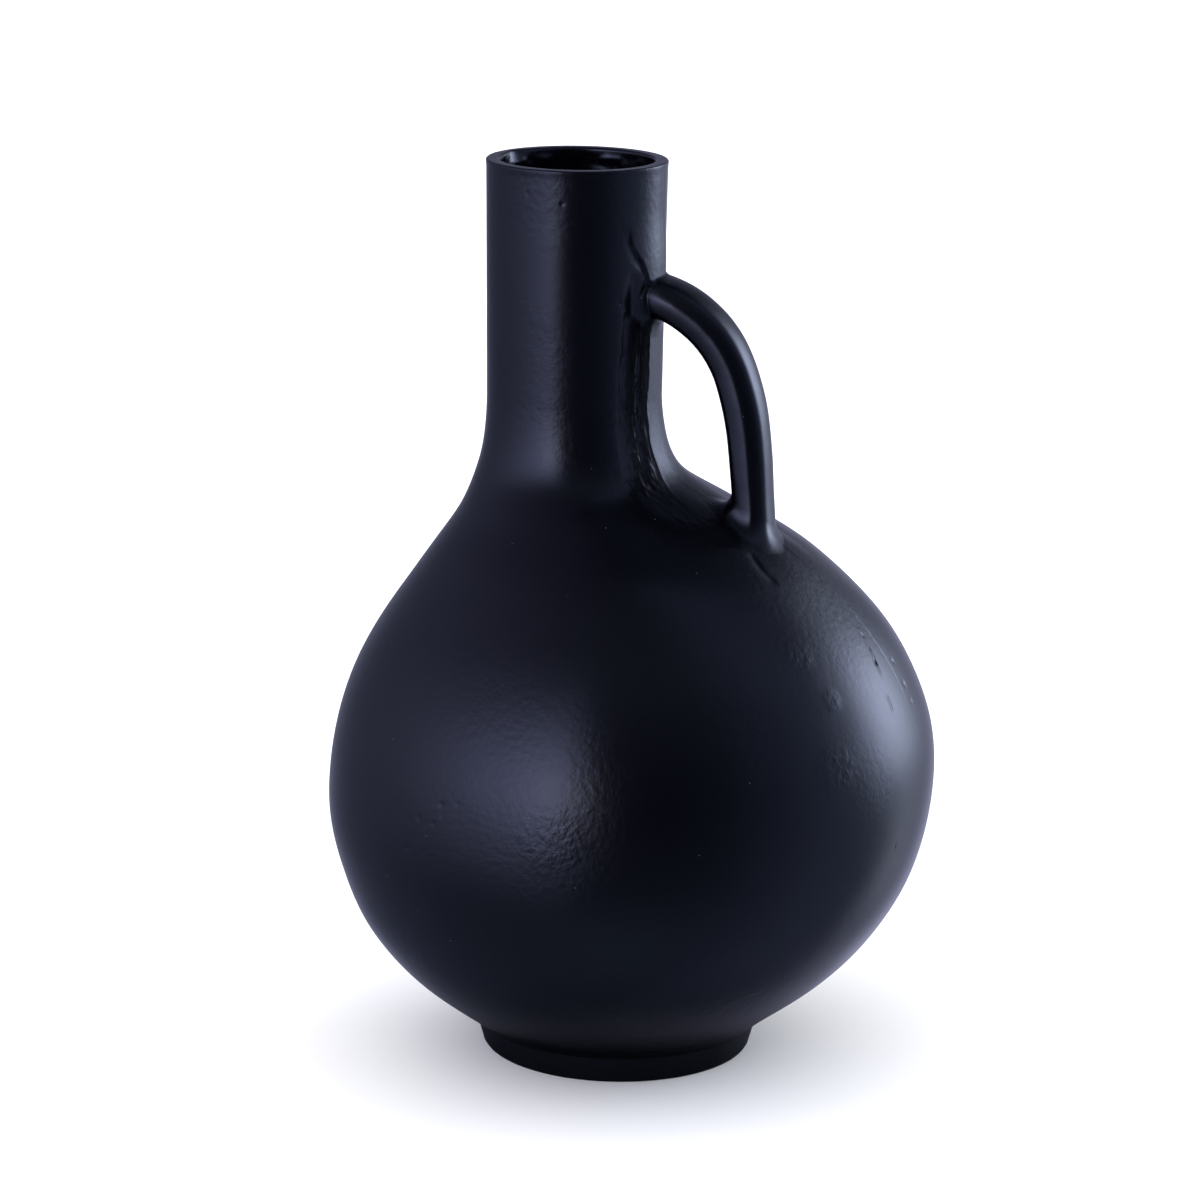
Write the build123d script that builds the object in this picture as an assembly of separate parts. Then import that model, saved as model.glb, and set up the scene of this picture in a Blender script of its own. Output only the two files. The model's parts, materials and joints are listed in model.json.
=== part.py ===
from build123d import *
import math
import os

# A round-bellied jug vase with a tall neck and one loop handle, in millimetres.
# +Z is up and the vase stands on Z = 0, with the origin under the middle of its widest ring.
# X runs towards the handle. The two pressed halves of the shell meet on the plane Y = 0.
# The foot and the neck both stand a little to the -X side of the belly's middle.

# Overall form: the widest ring's level, then the shoulder and the straight neck above it
belly_level = 96.5
shoulder_height = 125.5
neck_length = 78.0
belly_radius = 101.2
neck_radius = 29.2
lip_radius = 29.8
neck_offset = 22.1
foot_offset = 4.1

# Walls, bore and lip
belly_wall = 5.0
bore_radius = 25.2
lip_inner_round = 1.0
lip_outer_round = 0.6

# Foot ring and base disc
foot_height = 9.3
foot_top_radius = 47.7
foot_taper = 2.7
foot_width = 9.0
foot_edge_round = 1.0
foot_rebate_wall = 6.45
base_disc_thickness = 4.5
base_disc_clearance = 0.25

# Slip joint between the two halves
slip_thickness = 0.8
slip_stand_out = 0.3

# Handle: its middle line is a crown arc below the lip, a gentler back arc and a straight drop
handle_thickness = 14.0
handle_width = 16.0
handle_crown_drop = 41.5
handle_crown_radius = 39.2
handle_crown_inset = 10.0
handle_back_radius = 103.6
handle_start_angle = 9.0
handle_crown_angle = 71.5
handle_back_angle = 12.5

# Clay collars smoothed round the two roots of the handle
collar_reach = 7.0
collar_flare = 3.6
collar_edge = 0.3
collar_sink = 4.0

# Levels that follow from them
neck_level = belly_level + shoulder_height
lip_level = neck_level + neck_length

# Sections below the widest ring: height, swell and lean, as shares of the way
# from the foot's top to the widest ring, and of the foot's offset
lower_belly_shares = (
    (0.000, 0.000, 1.00),
    (0.084, 0.180, 1.15),
    (0.183, 0.389, 1.08),
    (0.300, 0.586, 0.91),
    (0.433, 0.749, 0.72),
    (0.601, 0.884, 0.41),
    (0.800, 0.977, 0.25),
)

# Sections above it: height as a share of the way up to the neck, swell as a
# share of the step from neck to belly, and lean as a share of the neck's offset
upper_belly_shares = (
    (0.000, 1.000, 0.000),
    (0.139, 0.972, -0.035),
    (0.278, 0.890, -0.028),
    (0.418, 0.749, 0.000),
    (0.533, 0.584, 0.095),
    (0.626, 0.423, 0.255),
    (0.695, 0.276, 0.475),
    (0.741, 0.182, 0.658),
    (0.788, 0.093, 0.853),
    (0.834, 0.045, 0.936),
    (0.904, 0.014, 0.976),
    (0.953, 0.004, 0.991),
    (1.000, 0.000, 1.000),
)

# A collar's profile: share of its reach up the handle, of its flare, and of the
# turn from the handle's own direction to the wall's
collar_shares = (
    (1.00, 0.00, 0.0),
    (0.55, 0.15, 0.2),
    (0.22, 0.48, 0.6),
    (0.00, 1.00, 1.0),
)


def belly_sections():
    """Each section's height, radius, centre and share of belly wall, foot to neck."""
    rows = []
    for height_share, swell_share, lean_share in lower_belly_shares:
        z = foot_height + height_share * (belly_level - foot_height)
        radius = foot_top_radius + swell_share * (belly_radius - foot_top_radius)
        rows.append((z, radius, -foot_offset * lean_share, 1))
    for height_share, swell_share, lean_share in upper_belly_shares:
        z = belly_level + height_share * shoulder_height
        radius = neck_radius + swell_share * (belly_radius - neck_radius)
        rows.append((z, radius, -neck_offset * lean_share, swell_share))
    return rows


def lip_section():
    """The topmost section, at the lip."""
    return (lip_level, lip_radius, -neck_offset, 0)


def inner_sections():
    """The hollow's sections: the outer ones drawn in by the wall, measured square to it."""
    rows = belly_sections()
    neck_wall = neck_radius - bore_radius
    inner = []
    for i, (z, radius, centre, belly_share) in enumerate(rows):
        before = rows[max(i - 1, 0)]
        after = rows[min(i + 1, len(rows) - 1)]
        slope = (after[1] - before[1]) / (after[0] - before[0])
        wall = neck_wall + belly_share * (belly_wall - neck_wall)
        inner.append((z, radius - wall * math.hypot(1, slope), centre))
    z, _, centre = inner.pop()
    inner.append((z, bore_radius, centre))
    return inner


def ring_face(z, radius, centre):
    """A level disc face at a section, whose outline starts on the side away from the handle."""
    return Plane(origin=(centre, 0, z), x_dir=(-1, 0, 0)) * Circle(radius)


def filled_forms():
    """Belly and neck as two solid forms, which the handle and its collars are cut to."""
    belly = loft([ring_face(z, radius, centre) for z, radius, centre, _ in belly_sections()])
    neck = Cone(neck_radius, lip_radius, neck_length, align=(Align.CENTER, Align.CENTER, Align.MIN))
    return belly, Pos(-neck_offset, 0, neck_level) * neck


def half_ring(z, radius, inner_radius, centre):
    """The back half of a level ring, drawn back from the joint plane by half the slip."""
    gap = slip_thickness / 2
    reach = math.sqrt(radius**2 - gap**2)
    inner_reach = math.sqrt(inner_radius**2 - gap**2)
    with BuildSketch(Plane(origin=(centre, 0, z))) as ring:
        with BuildLine():
            ThreePointArc((reach, gap), (0, radius), (-reach, gap))
            Line((-reach, gap), (-inner_reach, gap))
            ThreePointArc((-inner_reach, gap), (0, inner_radius), (inner_reach, gap))
            Line((inner_reach, gap), (reach, gap))
        make_face()
    return ring.sketch.face()


def neck_ring():
    """The neck above the shoulder, with its bore and its rounded lip."""
    with BuildSketch(Plane.XZ) as profile:
        with BuildLine():
            Polyline(
                (bore_radius, neck_level),
                (neck_radius, neck_level),
                (lip_radius, lip_level),
                (bore_radius, lip_level),
                close=True,
            )
        make_face()
        inner_corner, outer_corner = profile.vertices().group_by(Axis.Y)[-1].sort_by(Axis.X)
        fillet(inner_corner, lip_inner_round)
        fillet(outer_corner, lip_outer_round)
    return Pos(-neck_offset, 0, 0) * revolve(profile.sketch, Axis.Z)


def half_belly(grown=0):
    """The belly and shoulder behind the joint plane, its outside grown outwards where wanted."""
    rows = zip(belly_sections(), inner_sections())
    return loft([half_ring(z, radius + grown, inner[1], centre) for (z, radius, centre, _), inner in rows])


def back_half():
    """The pressed half of shell and neck behind the joint plane."""
    depth = 2 * lip_radius
    block = Box(2 * depth, depth, lip_level, align=(Align.CENTER, Align.MIN, Align.MIN))
    neck = neck_ring() & Pos(-neck_offset, slip_thickness / 2, 0) * block
    return half_belly() + neck


def seam_slip(side):
    """The slip between the halves, just proud outside: side is 1 at the handle and -1 far from it."""
    far_joint, near_joint = half_belly(slip_stand_out).faces().sort_by(Axis.Y)[:2].sort_by(Axis.X)
    belly = extrude(near_joint if side > 0 else far_joint, slip_thickness, dir=(0, -1, 0))
    top = lip_level - lip_inner_round
    with BuildSketch(Plane.XZ) as profile:
        with BuildLine():
            Polyline(
                (side * bore_radius - neck_offset, neck_level),
                (side * (neck_radius + slip_stand_out) - neck_offset, neck_level),
                (side * (lip_radius + slip_stand_out) - neck_offset, top),
                (side * bore_radius - neck_offset, top),
                close=True,
            )
        make_face()
    return belly + extrude(profile.sketch, slip_thickness / 2, both=True)


def foot_ring():
    """The turned ring that the shell stands on, with a rebate that carries the base disc."""
    bottom_radius = foot_top_radius - foot_taper
    inner_radius = bottom_radius - foot_width
    rebate_radius = foot_top_radius - foot_rebate_wall
    rebate_level = foot_height - base_disc_thickness
    with BuildSketch(Plane.XZ) as profile:
        with BuildLine():
            Polyline(
                (inner_radius, 0),
                (bottom_radius, 0),
                (foot_top_radius, foot_height),
                (rebate_radius, foot_height),
                (rebate_radius, rebate_level),
                (inner_radius, rebate_level),
                close=True,
            )
        make_face()
        fillet(profile.vertices().group_by(Axis.Y)[0], foot_edge_round)
    return Pos(-foot_offset, 0, 0) * revolve(profile.sketch, Axis.Z)


def base_disc():
    """The disc that closes the shell from below, level with the foot ring's top."""
    radius = foot_top_radius - foot_rebate_wall - base_disc_clearance
    disc = Cylinder(radius, base_disc_thickness, align=(Align.CENTER, Align.CENTER, Align.MAX))
    return Pos(-foot_offset, 0, foot_height) * disc


def handle_line():
    """The handle's middle line on the plane Y = 0, from inside the neck to inside the belly."""
    centre_x = neck_radius - neck_offset - handle_crown_inset
    start_angle = math.radians(handle_start_angle)
    start_x = centre_x + handle_crown_radius * math.sin(start_angle)
    start_z = lip_level - handle_crown_drop - handle_crown_radius * (1 - math.cos(start_angle))
    heading = (math.cos(start_angle), -math.sin(start_angle))
    turn = handle_crown_angle - handle_start_angle
    crown = JernArc((start_x, start_z), heading, handle_crown_radius, -turn)
    back = JernArc(crown @ 1, crown % 1, handle_back_radius, -handle_back_angle)
    landing = back @ 1
    falling = back % 1
    drop = Line(landing, landing + falling * ((landing.Y - belly_level) / -falling.Y))
    return Plane.XZ * Wire([crown, back, drop])


def oval(plane, grown=0):
    """The handle's oval section on a plane whose X direction runs across the vase."""
    return plane * Ellipse(handle_width / 2 + grown, handle_thickness / 2 + grown)


def handle_tube(line):
    """The handle with both ends run on into the wall."""
    start = Plane(origin=line @ 0, x_dir=(0, 1, 0), z_dir=line % 0)
    return sweep(oval(start), path=line)


def wall_reach(z):
    """The wall's outermost X on the handle side at a height, and its slope dX/dZ."""
    rows = belly_sections() + [lip_section()]
    for (z0, r0, c0, _), (z1, r1, c1, _) in zip(rows, rows[1:]):
        if z0 <= z <= z1:
            slope = (r1 + c1 - r0 - c0) / (z1 - z0)
            return r0 + c0 + slope * (z - z0), slope


def root_places(line):
    """Where the handle's middle line crosses the wall: a share of its length at each root."""
    steps = 400
    inside = []
    for i in range(steps + 1):
        point = line @ (i / steps)
        inside.append(point.X < wall_reach(point.Z)[0])
    first = inside.index(False)
    last = steps - inside[::-1].index(False)
    return first / steps, last / steps


def root_collar(line, share, way):
    """The clay smoothed round one root: way is 1 where the handle leaves and -1 where it lands."""
    point = line @ share
    slope = wall_reach(point.Z)[1]
    normal = Vector(1, 0, -slope).normalized()
    rings = []
    for reach_share, flare_share, turn_share in collar_shares:
        at = share + way * reach_share * collar_reach / line.length
        tangent = (line % at) * way
        facing = tangent * (1 - turn_share) + normal * turn_share
        plane = Plane(origin=line @ at, x_dir=(0, 1, 0), z_dir=facing)
        rings.append(oval(plane, collar_edge + flare_share * collar_flare))
    sunk = Plane(origin=point - normal * collar_sink, x_dir=(0, 1, 0), z_dir=normal)
    rings.append(oval(sunk, collar_edge + collar_flare))
    return loft(rings)


def keep_parts(parts):
    """Writes one file for each named piece."""
    os.makedirs("parts", exist_ok=True)
    for name, piece in parts.items():
        piece.label = name
        export_step(piece, f"parts/{name}.step")
        print(name, len(piece.solids()), round(piece.volume))


belly_form, neck_form = filled_forms()
line = handle_line()
tube = handle_tube(line)
leave_share, land_share = root_places(line)
back = back_half()
front = mirror(back, about=Plane.XZ)
handle_seam = seam_slip(1)
upper_collar = root_collar(line, leave_share, 1)
lower_collar = root_collar(line, land_share, -1)

parts = {
    "front_half": front,
    "back_half": back,
    "handle_side_seam": handle_seam,
    "far_side_seam": seam_slip(-1),
    "handle": tube - belly_form - neck_form - front - back - handle_seam,
    "upper_root_collar": upper_collar - belly_form - neck_form - tube - front - back - handle_seam,
    "lower_root_collar": lower_collar - belly_form - neck_form - tube - front - back - handle_seam,
    "foot_ring": foot_ring(),
    "base_disc": base_disc(),
}
keep_parts(parts)
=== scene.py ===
import json
import math

import bpy
import numpy as np
from mathutils import Matrix, Vector


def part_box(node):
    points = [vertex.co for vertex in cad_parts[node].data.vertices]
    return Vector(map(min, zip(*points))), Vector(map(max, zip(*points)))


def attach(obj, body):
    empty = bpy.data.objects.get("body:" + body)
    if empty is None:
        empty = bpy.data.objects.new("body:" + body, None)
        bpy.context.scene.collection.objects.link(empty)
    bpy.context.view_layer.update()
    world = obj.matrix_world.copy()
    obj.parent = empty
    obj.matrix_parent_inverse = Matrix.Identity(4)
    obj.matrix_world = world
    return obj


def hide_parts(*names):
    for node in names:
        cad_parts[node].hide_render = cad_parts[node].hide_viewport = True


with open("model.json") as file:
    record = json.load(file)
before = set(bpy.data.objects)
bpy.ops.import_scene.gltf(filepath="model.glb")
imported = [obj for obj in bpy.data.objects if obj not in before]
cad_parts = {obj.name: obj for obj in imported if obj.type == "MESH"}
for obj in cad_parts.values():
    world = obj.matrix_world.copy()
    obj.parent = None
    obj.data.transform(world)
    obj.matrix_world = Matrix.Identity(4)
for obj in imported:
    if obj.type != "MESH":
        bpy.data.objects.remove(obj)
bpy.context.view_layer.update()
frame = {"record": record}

# The vase is worked out in millimetres here and handed to Blender in metres.
MM = 0.001


def millimetres(node):
    """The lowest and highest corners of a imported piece, in millimetres."""
    low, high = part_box(node)
    return low / MM, high / MM


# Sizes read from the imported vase
_, half_high = millimetres("back_half")
foot_low, foot_high = millimetres("foot_ring")
disc_low, disc_high = millimetres("base_disc")
mouth = next(mount for mount in frame["record"]["mounts"] if mount["name"] == "mouth")
lip_level = half_high.z
belly_radius = half_high.y
foot_height = foot_high.z
foot_top_radius = (foot_high.x - foot_low.x) / 2
foot_offset = -(foot_high.x + foot_low.x) / 2
neck_offset = -mouth["pos_m"][0] / MM
bore_radius = mouth["dims"]["r_mm"]
base_disc_thickness = disc_high.z - disc_low.z
base_disc_radius = (disc_high.x - disc_low.x) / 2

# The rest of the form, in millimetres
belly_level = 96.5
neck_length = 78.0
neck_radius = 29.2
lip_radius = 29.8
belly_wall = 5.0
lip_inner_round = 1.0
lip_outer_round = 0.6
neck_level = lip_level - neck_length
shoulder_height = neck_level - belly_level
neck_wall = neck_radius - bore_radius

# Height, swell and lean below the widest ring, as shares of the way up to it
lower_belly_shares = (
    (0.0, 0.0, 1.0), (0.084, 0.18, 1.15), (0.183, 0.389, 1.08), (0.3, 0.586, 0.91),
    (0.433, 0.749, 0.72), (0.601, 0.884, 0.41), (0.8, 0.977, 0.25),
)

# The same above it, as shares of the way up to the neck
upper_belly_shares = (
    (0.0, 1.0, 0.0), (0.139, 0.972, -0.035), (0.278, 0.89, -0.028), (0.418, 0.749, 0.0),
    (0.533, 0.584, 0.095), (0.626, 0.423, 0.255), (0.695, 0.276, 0.475), (0.741, 0.182, 0.658),
    (0.788, 0.093, 0.853), (0.834, 0.045, 0.936), (0.904, 0.014, 0.976), (0.953, 0.004, 0.991),
    (1.0, 0.0, 1.0),
)


def belly_rows():
    """Each drawn section's height, radius, centre and wall, from foot to neck."""
    rows = []
    for height_share, swell_share, lean_share in lower_belly_shares:
        z = foot_height + height_share * (belly_level - foot_height)
        radius = foot_top_radius + swell_share * (belly_radius - foot_top_radius)
        rows.append((z, radius, -foot_offset * lean_share, belly_wall))
    for height_share, swell_share, lean_share in upper_belly_shares:
        z = belly_level + height_share * shoulder_height
        radius = neck_radius + swell_share * (belly_radius - neck_radius)
        wall = neck_wall + swell_share * (belly_wall - neck_wall)
        rows.append((z, radius, -neck_offset * lean_share, wall))
    return np.array(rows)


def flowing_slopes(levels, values):
    """Slopes at each level that make one smooth line through the values."""
    step = np.diff(levels)
    rise = np.diff(values) / step
    before, after = step[:-1], step[1:]
    system = np.diag([1, *(2 * (before + after)), 1])
    system += np.diag([*after, 1], -1) + np.diag([1, *before], 1)
    wanted = 3 * (after * rise[:-1] + before * rise[1:])
    return np.linalg.solve(system, [2 * rise[0], *wanted, 2 * rise[-1]])


def along(levels, values, slopes, z):
    """The smooth line's value and slope at the heights z."""
    i = np.clip(np.searchsorted(levels, z) - 1, 0, len(levels) - 2)
    step = levels[i + 1] - levels[i]
    t = np.clip((z - levels[i]) / step, 0, 1)
    rise = values[i + 1] - values[i]
    a = slopes[i] * step - rise
    b = -slopes[i + 1] * step + rise
    sway = (1 - t) * a + t * b
    value = values[i] + t * rise + t * (1 - t) * sway
    slope = (rise + (1 - 2 * t) * sway + t * (1 - t) * (b - a)) / step
    return value, slope


section_rows = belly_rows()
section_levels = section_rows[:, 0]
radius_slopes = flowing_slopes(section_levels, section_rows[:, 1])
centre_slopes = flowing_slopes(section_levels, section_rows[:, 2])
lip_slope = (lip_radius - neck_radius) / neck_length


def outline(z):
    """Outer radius, centre, wall and the radius's slope at the heights z."""
    z = np.asarray(z, float)
    radius, slope = along(section_levels, section_rows[:, 1], radius_slopes, z)
    centre, _ = along(section_levels, section_rows[:, 2], centre_slopes, z)
    wall = np.interp(z, section_levels, section_rows[:, 3])
    on_neck = z > neck_level
    radius = np.where(on_neck, neck_radius + (z - neck_level) * lip_slope, radius)
    centre = np.where(on_neck, -neck_offset, centre)
    slope = np.where(on_neck, lip_slope, slope)
    return radius, centre, wall, slope


def stepped(stops, end):
    """Values from stop to stop: each stop names where it starts and its step."""
    values = []
    for (start, step), (until, _) in zip(stops, stops[1:] + [(end, 0)]):
        count = max(1, round((until - start) / step))
        values += list(start + (until - start) * np.arange(count) / count)
    return np.array(values + [end])


# A half's rows: from each height on, the step between them
outer_row_stops = [(foot_height, 0.8), (86.0, 0.6), (110.0, 0.5), (290.0, 0.8)]
inner_row_stops = [(foot_height, 4.0), (neck_level - 30, 2.0), (lip_level - 12, 0.5)]
inner_row_end = lip_level - 1.8

# The rows round the lip's outer edge and over its top, which stay even
lip_even_rows = 7


def rounded(middle, level, size, angles):
    """Radius and height along a rounded edge of the given size, at angles in degrees."""
    return [(middle + size * math.cos(a), level + size * math.sin(a)) for a in np.radians(angles)]


def shell_profile():
    """The closed line round a half's wall as radius, height and centre: outside, lip, inside."""
    outer_top = lip_level - lip_outer_round
    inner_top = lip_level - lip_inner_round
    outer_middle = lip_radius - lip_outer_round
    inner_middle = bore_radius + lip_inner_round
    lip = rounded(outer_middle, outer_top, lip_outer_round, np.linspace(0, 90, 7)[1:])
    for share in (0.33, 0.67):
        lip.append((outer_middle + share * (inner_middle - outer_middle), lip_level))
    lip += rounded(inner_middle, inner_top, lip_inner_round, np.linspace(90, 180, 9))
    outer_z = stepped(outer_row_stops, outer_top)
    radius, centre, _, _ = outline(outer_z)
    points = list(zip(radius, outer_z, centre)) + [(r, level, -neck_offset) for r, level in lip]
    inner_z = stepped(inner_row_stops, inner_row_end)[::-1]
    radius, centre, wall, slope = outline(inner_z)
    inner_radius = radius - wall * np.hypot(1, slope)
    inner_radius = np.where(inner_z > neck_level, bore_radius, inner_radius)
    points += list(zip(inner_radius, inner_z, centre))
    return np.array(points), len(outer_z)


def ease(value, start, end):
    """0 up to start and 1 from end on, with a soft step between."""
    t = np.clip((value - start) / (end - start), 0, 1)
    return t * t * (3 - 2 * t)


def between(value, rise, fall):
    """1 between two soft steps, each given by where it starts and ends, and 0 beyond them."""
    return ease(value, *rise) * (1 - ease(value, *fall))


def stacked(*parts):
    """The parts, spread to one shape, side by side along a last axis."""
    return np.stack(np.broadcast_arrays(*parts), axis=-1)


def hump(distance, width):
    """1 at no distance, fading softly to both sides over the width."""
    return np.exp(-((distance / width) ** 2))


# The lumps' table: how many values it holds, and how far each axis steps through it
lump_values = 8192
lump_steps = (73, 1543, 389)


def lumps(points, size, seed):
    """Soft lumps between -1 and 1, about the given size across, the same each time."""
    table = np.random.default_rng(seed).uniform(-1, 1, lump_values)
    spot = points / size
    cell = np.floor(spot).astype(np.int64)
    part = ease(spot - cell, 0, 1)
    total = np.zeros(points.shape[:-1])
    for corner in np.ndindex(2, 2, 2):
        index = ((cell + corner) * lump_steps).sum(-1) % lump_values
        weight = np.where(np.array(corner) == 1, part, 1 - part).prod(-1)
        total += table[index] * weight
    return total


def waves(points, layers):
    """Layers of lumps added up: each has a depth, a size, a seed, and how far it is pushed under
    the surface as a share of its depth."""
    return sum(depth * (lumps(points, size, seed) - under) for depth, size, seed, under in layers)


def nearest(points, line):
    """Each point's distance to a bent line on the wall, positive on its handle side, and how far
    along the line it lies, from 0 to 1. The line runs downwards."""
    line = np.array(line, float)
    best = np.full(points.shape[:-1], 1e9)
    where = np.zeros(points.shape[:-1])
    for i, (start, end) in enumerate(zip(line, line[1:])):
        run = end - start
        t = np.clip(((points - start) @ run) / (run @ run), 0, 1)
        off = points - start - t[..., None] * run
        gap = np.linalg.norm(off, axis=-1)
        closer = gap < np.abs(best)
        beside = off @ np.cross(run, (start[0] + neck_offset, start[1], 0))
        best = np.where(closer, np.where(beside > 0, -gap, gap), best)
        where = np.where(closer, (i + t) / (len(line) - 1), where)
    return best, where


def wall_point(z, side_y):
    """The point of the wall on the handle's side at a height and a distance from the joint."""
    radius, centre, _, _ = outline(z)
    return (float(centre + math.sqrt(radius**2 - side_y**2)), side_y, z)


def wall_point_at(z, degrees):
    """The point of the wall at a height and an angle from the handle, minus towards the front."""
    radius, centre, _, _ = outline(z)
    angle = math.radians(degrees)
    return (float(centre + radius * math.cos(angle)), float(radius * math.sin(angle)), z)


# The worn hollow inside the loop: level, distances of its groove and of the ridge behind it from
# the joint, and depth
strip_rows = (
    (264.0, -10.5, -8.5, 0.0), (254.0, -11.0, -7.6, 0.7), (242.0, -11.3, -7.0, 0.9),
    (232.5, -12.0, -7.2, 0.9), (220.0, -12.1, -7.6, 0.85), (205.0, -13.8, -8.1, 0.75),
    (199.0, -15.2, -8.6, 0.5), (194.0, -18.0, -12.0, 0.22), (188.0, -20.5, -16.5, 0.07),
    (182.0, -23.0, -21.0, 0.0),
)

# The hollow's width and the share of it that rounds in, and the lines of its groove and its ridge
hollow_width = 8.5
hollow_rim = 0.25
groove_cut = 0.03
ridge_height = 0.10
ridge_shift = 0.3
line_width = 0.6

# Lumps that make the groove and the ridge wander, and that break the groove up
groove_wander = ((0.4, 3.4, 7, 0), (0.25, 1.3, 8, 0))
ridge_wander = ((0.45, 4.5, 17, 0), (0.25, 1.6, 18, 0))
groove_breaks = (4, 9)
groove_break_span = (-0.2, 0.3)

# The hollow's depths over which its groove and its ridge come up
line_depths = (0.15, 0.45)

# The rubbed strip: how flat it is, its half width, and where it starts and ends
strip_flat = 0.2
strip_half_width = 12.0
strip_edge = 2.0
strip_back = (9, 13)
strip_levels = ((182, 194), (246, 256))

# File streaks: how drawn out along the joint, then a layer of lumps
streaks = ((0.14, 0.03, 0.8, 11, 1), (0.3, 0.05, 3.5, 12, 1))
streak_front = 5.0
streak_back = (10, 16)
streak_levels = ((186, 200), (248, 260))

# Flakes low in the hollow: lumps, start and end from the groove and the ridge, and levels
flakes = ((0.07, 1.6, 14, 1), (0.028, 0.9, 15, 0))
flake_front = (-7, -4)
flake_back = (-1.5, 0)
flake_levels = ((180, 190), (215, 238))

# The low hem of clay over the lower root
hem_height = 0.8
hem_level = 183
hem_spread = 9
hem_across = ((-16, -6), (6, 16))

# Marks on the handle's side come up over this span outwards
handle_side = (-12, 0)

# The neck's swell over the upper root: its lapped edge as levels and distances from the joint,
# then its height, where it fades, and how its edge softens upwards
lap_levels = (262, 269.6, 275.6, 281)
lap_distances = (-9.0, -12.6, -16.6, -17.5)
swell_height = 1.15
swell_far_side = (1, 9)
swell_levels = ((254, 264), (266, 286))
lap_softness = 0.5
lap_more_softness = 4.0
lap_softening_levels = (274, 286)

# Creases beside the handle's roots, where the clay was lapped: depth, half width on the far side
# and on the handle's side, then points as level and distance from the joint
creases = (
    (0.36, 2.2, 0.9, (179.0, -16.6), (177.3, -18.6), (175.2, -21.2), (173.4, -22.4),
     (171.6, -22.9), (169.6, -23.6)),
    (0.28, 1.8, 0.4, (282.0, -17.2), (277.5, -16.9), (274.0, -16.1), (270.6, -14.4),
     (267.8, -11.8), (266.4, -10.2)),
    (0.60, 2.4, 2.4, (268.0, -14.4), (262.0, -15.0), (256.0, -15.2), (250.0, -14.6)),
    (0.15, 1.2, 0.4, (259.0, -20.0), (256.4, -18.6), (253.8, -17.4)),
    (0.20, 0.8, 0.5, (152.2, -5.2), (149.0, -6.9), (146.3, -7.6), (143.8, -9.3),
     (141.2, -9.6), (138.0, -11.5)),
    (0.16, 0.8, 0.5, (135.8, -12.3), (132.6, -13.1), (130.6, -13.1), (128.1, -14.4)),
)

# The shares of its length from its middle between which a crease fades
crease_fade = (0.25, 0.5)

# Small pits: height, angle from the handle, radius and depth
pits = (
    (106.5, -108.2, 0.8, 0.30), (107.7, -104.7, 0.6, 0.20), (100.2, -113.2, 0.7, 0.25),
    (99.8, -109.7, 0.6, 0.20), (89.0, -115.7, 0.8, 0.30), (297.4, -106.5, 0.5, 0.20),
    (291.8, -102.6, 0.6, 0.18), (289.4, -79.2, 0.6, 0.22), (167.5, -1.1, 0.6, 0.20),
    (151.4, -4.0, 0.7, 0.30), (147.8, -5.3, 0.5, 0.20), (143.8, -6.2, 0.8, 0.35),
    (141.3, 2.6, 0.7, 0.35), (134.0, 2.5, 1.0, 0.30), (128.5, 2.5, 0.7, 0.25),
    (86.0, -12.0, 0.7, 0.20),
)

# The pressed skin's broad waves and small ripples
skin_waves = ((0.14, 38, 3, 1), (0.045, 11, 5, 1))


def loop_wear(points):
    """The skin's wear inside the loop: the hollow, the rubbed strip, streaks, flakes and hem."""
    x, y, z = np.moveaxis(points, -1, 0)
    levels, grooves, ridges, depths = (np.array(column)[::-1] for column in zip(*strip_rows))
    up_only = points * (0, 0, 1)
    groove = np.interp(z, levels, grooves) + waves(up_only, groove_wander)
    ridge = np.interp(z, levels, ridges) + waves(up_only, ridge_wander)
    depth = np.interp(z, levels, depths)
    into = np.clip((y - groove + hollow_width) / hollow_width, 0, 1)
    out = np.clip((y - groove) / (ridge - groove), 0, 1)
    wear = -depth * (1 - (1 - into) ** 2) * ease(into, 0, hollow_rim) * (1 - out)
    cut = hump(y - groove, line_width) * ease(lumps(points, *groove_breaks), *groove_break_span)
    lines = ridge_height * hump(y - ridge - ridge_shift, line_width) - groove_cut * cut
    wear = wear + lines * ease(depth, *line_depths)
    strip = between(y, (ridge, ridge + strip_edge), strip_back) * between(z, *strip_levels)
    wear = wear - strip_flat * strip * (1 - (y / strip_half_width) ** 2)
    around = between(y, (groove - streak_front, groove), streak_back) * between(z, *streak_levels)
    for drawn_out, *layer in streaks:
        wear = wear + around * waves(points * (1, 1, drawn_out), [layer])
    front = [groove + reach for reach in flake_front]
    back = [ridge + reach for reach in flake_back]
    wear = wear + between(y, front, back) * between(z, *flake_levels) * waves(points, flakes)
    hem = between(y, *hem_across) * hump(z - hem_level, hem_spread)
    return (wear + hem_height * hem) * ease(x, *handle_side)


def root_swell(points):
    """The neck's slight swell down to the handle's upper root, lapped over along the crease."""
    x, y, z = np.moveaxis(points, -1, 0)
    lap = np.interp(z, lap_levels, lap_distances)
    soft = lap_softness + lap_more_softness * ease(z, *lap_softening_levels)
    swell = between(y, (lap - soft, lap + soft), swell_far_side) * between(z, *swell_levels)
    return swell_height * swell * ease(x, *handle_side)


def shell_relief(points):
    """How far the skin of belly and neck stands out from its drawn form, in millimetres."""
    relief = waves(points, skin_waves) + loop_wear(points) + root_swell(points)
    for depth, far_width, near_width, *line in creases:
        side, where = nearest(points, [wall_point(level, side_y) for level, side_y in line])
        fade = 1 - ease(np.abs(where - 0.5), *crease_fade)
        relief = relief - depth * fade * hump(side, np.where(side > 0, near_width, far_width))
    for level, degrees, radius, depth in pits:
        gap = np.linalg.norm(points - np.array(wall_point_at(level, degrees)), axis=-1)
        relief = relief - depth * hump(gap, radius)
    return relief


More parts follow.
